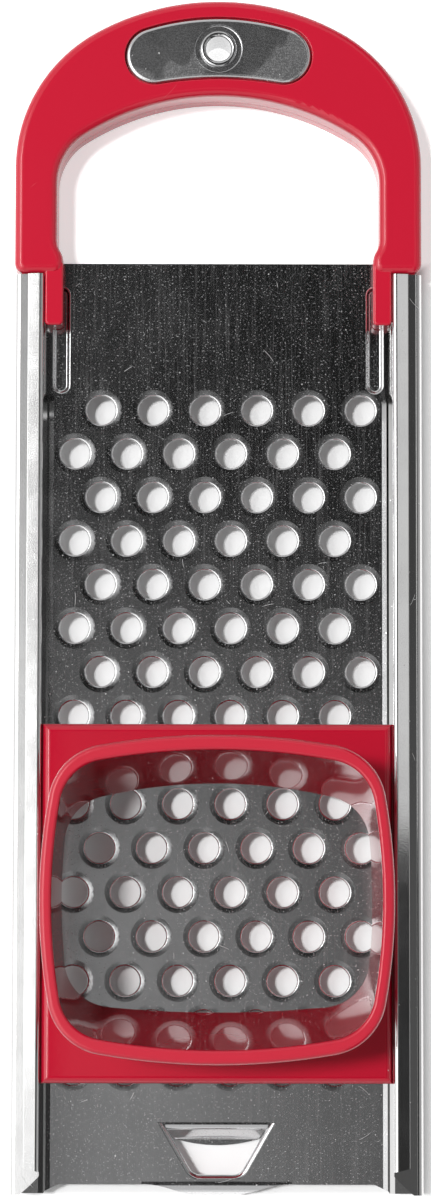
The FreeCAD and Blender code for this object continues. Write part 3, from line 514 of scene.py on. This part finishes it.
def gloss_plastic(name, colour, roughness, dust_share, satin_and_sheen_height=None):
    """Moulded gloss plastic with a trace of orange peel, scratches and dust. Above a height its up-facing faces
    turn satin and get a lighter colour, a painted sheen.
    """
    material, tree, shader, place = new_material(name)
    peel = use_group(tree, "fine_grain", Vector=place, Size=1.6 * MM)
    scratches = use_group(tree, "scratches", Vector=place, Spacing=17.0 * MM, Length=0.2, Width=0.002, Share=0.25)
    dust = use_group(tree, "specks", Vector=place, Spacing=4.5 * MM, Size=0.05, Share=dust_share)
    wear = use_group(tree, "edge_wear", Vector=place, Radius=0.35 * MM, Breakup=250.0)
    marks = largest(tree, scratches.outputs["Mask"], wear.outputs["Mask"])
    smudge = ramp(tree, peel.outputs["Clouds"], 0.4, 0.7, 0.0, 0.04)
    rough = total(tree, smudge, roughness, product(tree, marks, 0.15))
    deeper = tuple(0.9 * c for c in colour)
    paler = tuple(0.75 * c + 0.2 for c in colour)
    # painted sheen: a lighter copy of the colour for up-facing faces high on the part
    painted_sheen_colour = tuple(1.05 * c + 0.012 for c in colour)
    body = mix_colour(tree, peel.outputs["Clouds"], colour, deeper)
    if satin_and_sheen_height is not None:
        # painted sheen: up-facing faces above the height get satin roughness and the lighter colour, as if lit
        # from above
        normal = add_node(tree, "ShaderNodeNewGeometry").outputs["Normal"]
        flat = ramp(tree, axes(tree, normal)[2], 0.8, 0.97)
        satin_and_painted_sheen = product(tree, ramp(tree, axes(tree, place)[2], satin_and_sheen_height - 2 * MM, satin_and_sheen_height), flat)
        rough = total(tree, rough, product(tree, satin_and_painted_sheen, 0.25))
        body = mix_colour(tree, satin_and_painted_sheen, body, painted_sheen_colour)
    tree.links.new(rough, shader.inputs["Roughness"])
    body = mix_colour(tree, product(tree, marks, 0.2), body, paler)
    body = mix_colour(tree, dust.outputs["Mask"], body, DUST)
    tree.links.new(body, shader.inputs["Base Color"])
    shader.inputs["IOR"].default_value = 1.53
    bump(tree, shader, peel.outputs["Height"], 0.05, 0.04 * MM)
    return material


def floor_paper(stage):
    """Pale matt floor that keeps the shadows, with a little light of its own so that it stays pale. The glow is
    stronger beside, above and beyond the plate and in a strip seen through the eyelet, painted light that lifts
    the shadows there.
    """
    material, tree, shader, place = new_material("pale_floor")
    shader.inputs["Base Color"].default_value = (*stage.floor_colour, 1.0)
    shader.inputs["Roughness"].default_value = 0.9
    shader.inputs["Specular IOR Level"].default_value = 0.0
    x, y, _ = axes(tree, place)
    x = magnitude(tree, x)
    low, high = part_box(PLATE)
    # painted light: the floor glows more beside, above and beyond the plate, which lightens the object's shadow
    # there
    beside = ramp(tree, x, high[0] - 1 * MM, high[0] + 4 * MM)
    above = ramp(tree, y, high[1] - 24 * MM, high[1] - 20 * MM)
    beyond = ramp(tree, y, low[1] + 1 * MM, low[1] - 2 * MM)
    # painted light: a strip of floor, from the hanging eyelet onwards and as wide as the eyelet, glows more so
    # that it looks pale through the eyelet
    low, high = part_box(EYELET[0])
    through = product(tree, ramp(tree, y, low[1], low[1] + 1 * MM), ramp(tree, x, high[0], high[0] - 1 * MM))
    even_and_painted_glow = total(tree, largest(tree, beside, above, beyond), product(tree, through, 0.6))
    even_and_painted_glow = total(tree, product(tree, even_and_painted_glow, 0.5), 0.03)
    path = add_node(tree, "ShaderNodeLightPath")
    rays = ("Is Camera Ray", "Is Glossy Ray", "Is Transmission Ray")
    seen = largest(tree, *(path.outputs[ray] for ray in rays))
    shader.inputs["Emission Color"].default_value = (1.0, 1.0, 1.0, 1.0)
    tree.links.new(product(tree, seen, even_and_painted_glow), shader.inputs["Emission Strength"])
    return material


def dress(node, material):
    """Gives a CAD node its material."""
    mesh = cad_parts[node].data
    mesh.materials.clear()
    mesh.materials.append(material)


# Operators


class PRESS_OT_plate(bpy.types.Operator):
    """Gives the perforated plate its rolled steel finish"""

    bl_idname = "press.plate"
    bl_label = "Perforated plate"

    def execute(self, context):
        dress(PLATE, sheet_steel(context.scene.press_finish))
        return {"FINISHED"}


class PRESS_OT_handle(bpy.types.Operator):
    """Gives both halves of the handle their gloss plastic"""

    bl_idname = "press.handle"
    bl_label = "Handle"

    def execute(self, context):
        finish = context.scene.press_finish
        material = gloss_plastic("handle_gloss_plastic", finish.handle_red, 0.14, 0.15)
        for node in SHELLS:
            dress(node, material)
        return {"FINISHED"}


class PRESS_OT_inlay(bpy.types.Operator):
    """Gives the steel inlay and the hanging eyelet their polish"""

    bl_idname = "press.inlay"
    bl_label = "Inlay and eyelet"

    def execute(self, context):
        finish = context.scene.press_finish
        dress(INLAY, bright_steel(finish, "inlay_polished_steel", 0.1, 0.35, 0.2))
        eyelet = bright_steel(finish, "eyelet_bright_steel", 0.06, 0.1)
        for node in EYELET:
            dress(node, eyelet)
        return {"FINISHED"}


class PRESS_OT_screws(bpy.types.Operator):
    """Gives the leg screws their plain steel"""

    bl_idname = "press.screws"
    bl_label = "Leg screws"

    def execute(self, context):
        dress(SCREWS, bright_steel(context.scene.press_finish, "screw_plain_steel", 0.3, 0.2))
        return {"FINISHED"}


class PRESS_OT_hopper(bpy.types.Operator):
    """Gives the hopper its high-gloss plastic"""

    bl_idname = "press.hopper"
    bl_label = "Hopper"

    def execute(self, context):
        finish = context.scene.press_finish
        # above this height the hopper's up-facing faces get satin roughness and a painted sheen
        rim_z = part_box(HOPPER)[1][2] - 1.5 * MM
        dress(HOPPER, gloss_plastic("hopper_gloss_plastic", finish.hopper_red, 0.03, 0.12, rim_z))
        return {"FINISHED"}


def link_object(name, data):
    """New object in the scene's collection."""
    obj = bpy.data.objects.new(name, data)
    bpy.context.scene.collection.objects.link(obj)
    return obj


def softbox(name, radiance, place, target, across, along):
    """Rectangular lamp that faces a point. Its long side runs along the plate."""
    lamp = bpy.data.lights.new(name, "AREA")
    lamp.shape = "RECTANGLE"
    lamp.size = across
    lamp.size_y = along
    lamp.energy = radiance * math.pi * across * along
    obj = link_object(name, lamp)
    back = (Vector(place) - Vector(target)).normalized()
    side = Vector((0.0, 1.0, 0.0)).cross(back).normalized()
    turn = Matrix((side, back.cross(side), back)).transposed()
    obj.location = place
    obj.rotation_euler = turn.to_euler()
    obj.visible_camera = False
    return obj


def room_level(tree, direction):
    """Brightness of the room in one direction, as gloss sees it: pale walls, a dark ceiling, a strip box."""
    x, y, z = axes(tree, direction)

    # the dark ceiling is longer along the plate than across it, and reaches furthest towards the hook
    wide = math_node(tree, "POWER", product(tree, x, 1.5), 2.0)
    near = math_node(tree, "POWER", product(tree, y, ramp(tree, y, -0.05, 0.05, 0.78, 1.0)), 2.0)
    reach = math_node(tree, "SQRT", total(tree, wide, near))
    left = product(tree, ramp(tree, y, -0.03, 0.12, 1.15, 0.72), ramp(tree, x, -0.3, -0.34))
    wall = product(tree, ramp(tree, reach, 0.41, 0.5), largest(tree, left, 0.72))
    low = ramp(tree, z, 0.6, 0.2)

    # it is paler towards the hook and towards the left, as far as the plate mirrors it
    ceiling = product(tree, ramp(tree, y, -0.01, 0.115, 0.25, 0.012), ramp(tree, x, -0.045, 0.045, 1.6, 0.55))
    ceiling = product(
        tree,
        total(tree, ceiling, ramp(tree, x, -0.005, -0.04, 0.0, 0.03)),
        ramp(tree, x, -0.038, -0.046, 1.0, 0.15),
        ramp(tree, x, 0.06, 0.12, 1.0, 0.3),
        ramp(tree, y, -0.25, -0.12, 0.1, 1.0),
    )
    ceiling = total(tree, ceiling, ramp(tree, x, 0.07, 0.14, 0.0, 0.07))

    # gap between the lit walls on the right, which the tracks mirror
    gap = inverted(tree, product(tree, band(tree, x, 0.35, 0.64, 0.04), 0.95))
    room = product(tree, largest(tree, wall, low, ceiling), gap, ramp(tree, x, 0.5, 0.6, 1.0, 0.6))

    strip = product(
        tree,
        band(tree, x, -0.31, -0.13, 0.02),
        band(tree, y, -0.5, 0.4, 0.1),
        ramp(tree, y, -0.04, 0.16, 1.6, 0.7),
    )
    return largest(tree, room, strip)


def studio_world(fill):
    """Even, dim light from all round. Gloss sees the room, and the camera sees white."""
    world = bpy.data.worlds.new("studio_room")
    bpy.context.scene.world = world
    world.use_nodes = True
    tree = world.node_tree
    tree.nodes.clear()
    output = add_node(tree, "ShaderNodeOutputWorld", 600, 0)
    background = add_node(tree, "ShaderNodeBackground", 300, 0, in_Color=(1.0, 1.0, 1.0, 1.0))
    place = add_node(tree, "ShaderNodeTexCoord", -600, 0)
    path = add_node(tree, "ShaderNodeLightPath")
    glossy = largest(tree, path.outputs["Is Glossy Ray"], path.outputs["Is Transmission Ray"])
    straight = path.outputs["Is Camera Ray"]
    other = inverted(tree, largest(tree, glossy, straight))
    room = room_level(tree, place.outputs["Generated"])
    strength = total(tree, straight, product(tree, room, glossy), product(tree, other, fill))
    tree.links.new(strength, background.inputs["Strength"])
    tree.links.new(background.outputs["Background"], output.inputs["Surface"])


class PRESS_OT_stage(bpy.types.Operator):
    """Makes the floor, the light and the camera"""

    bl_idname = "press.stage"
    bl_label = "Stage"

    def execute(self, context):
        stage = context.scene.press_stage
        mesh = bpy.data.meshes.new("floor")
        shape = bmesh.new()
        bmesh.ops.create_circle(shape, cap_ends=True, segments=64, radius=stage.floor_radius)
        bmesh.ops.translate(shape, verts=shape.verts, vec=(0.0, 0.0, -0.1 * MM))
        shape.to_mesh(mesh)
        shape.free()
        floor = link_object("floor", mesh)
        mesh.materials.append(floor_paper(stage))

        middle = (0.0, 0.0, 0.02)
        softbox("left_softbox", stage.left_box, place=(-0.95, -0.1, 0.86), target=middle, across=1.0, along=1.7)
        right = softbox(
            "right_softbox", stage.right_box, place=(1.05, 0.0, 0.70), target=middle, across=0.8, along=1.7
        )
        right.visible_glossy = False
        strip = softbox(
            "right_strip", stage.strip_box, place=(0.36, 0.1, 0.7), target=(0.36, 0.1, 0), across=0.09, along=0.3
        )
        strip.visible_diffuse = False
        softbox("key_box", stage.key_box, place=(-0.575, 0.11, 0.93), target=middle, across=0.2, along=0.6)
        sun = bpy.data.lights.new("high_light", "SUN")
        sun.energy = stage.high_light
        sun.angle = HIGH_LIGHT_SPREAD
        high = link_object("high_light", sun)
        high.rotation_euler = Vector(HIGH_LIGHT_FROM).to_track_quat("Z", "Y").to_euler()
        high.visible_camera = False
        high.visible_glossy = False
        studio_world(stage.room_fill)

        lens = bpy.data.cameras.new("camera")
        lens.lens = stage.camera_lens
        lens.sensor_width = 36.0
        lens.clip_start = 0.01
        lens.clip_end = 50.0
        camera = link_object("camera", lens)
        camera.location = (CAMERA_X, stage.camera_y, stage.camera_height)
        camera.rotation_euler = Euler((stage.camera_tilt, 0.0, CAMERA_ROLL))
        context.scene.camera = camera
        context.scene.view_settings.view_transform = "Standard"
        return {"FINISHED"}


class PRESS_PT_panel(bpy.types.Panel):
    """Lists the press's pieces and its stage"""

    bl_label = "Batter press"
    bl_idname = "PRESS_PT_panel"
    bl_space_type = "VIEW_3D"
    bl_region_type = "UI"
    bl_category = "Batter press"

    def draw(self, context):
        layout = self.layout
        for group in (context.scene.press_finish, context.scene.press_stage):
            box = layout.box()
            for name in group.bl_rna.properties.keys():
                if name not in {"rna_type", "name"}:
                    box.prop(group, name)
        for operator in OPERATORS:
            layout.operator(operator.bl_idname)


OPERATORS = (
    PRESS_OT_plate,
    PRESS_OT_handle,
    PRESS_OT_inlay,
    PRESS_OT_screws,
    PRESS_OT_hopper,
    PRESS_OT_stage,
)
CLASSES = (PressFinish, PressStage, *OPERATORS, PRESS_PT_panel)


def register():
    for cls in CLASSES:
        bpy.utils.register_class(cls)
    bpy.types.Scene.press_finish = bpy.props.PointerProperty(type=PressFinish)
    bpy.types.Scene.press_stage = bpy.props.PointerProperty(type=PressStage)


def unregister():
    del bpy.types.Scene.press_stage
    del bpy.types.Scene.press_finish
    for cls in reversed(CLASSES):
        bpy.utils.unregister_class(cls)


def main():
    register()
    bpy.ops.press.plate()
    bpy.ops.press.handle()
    bpy.ops.press.inlay()
    bpy.ops.press.screws()
    bpy.ops.press.hopper()
    bpy.ops.press.stage()


if __name__ == "__main__":
    main()
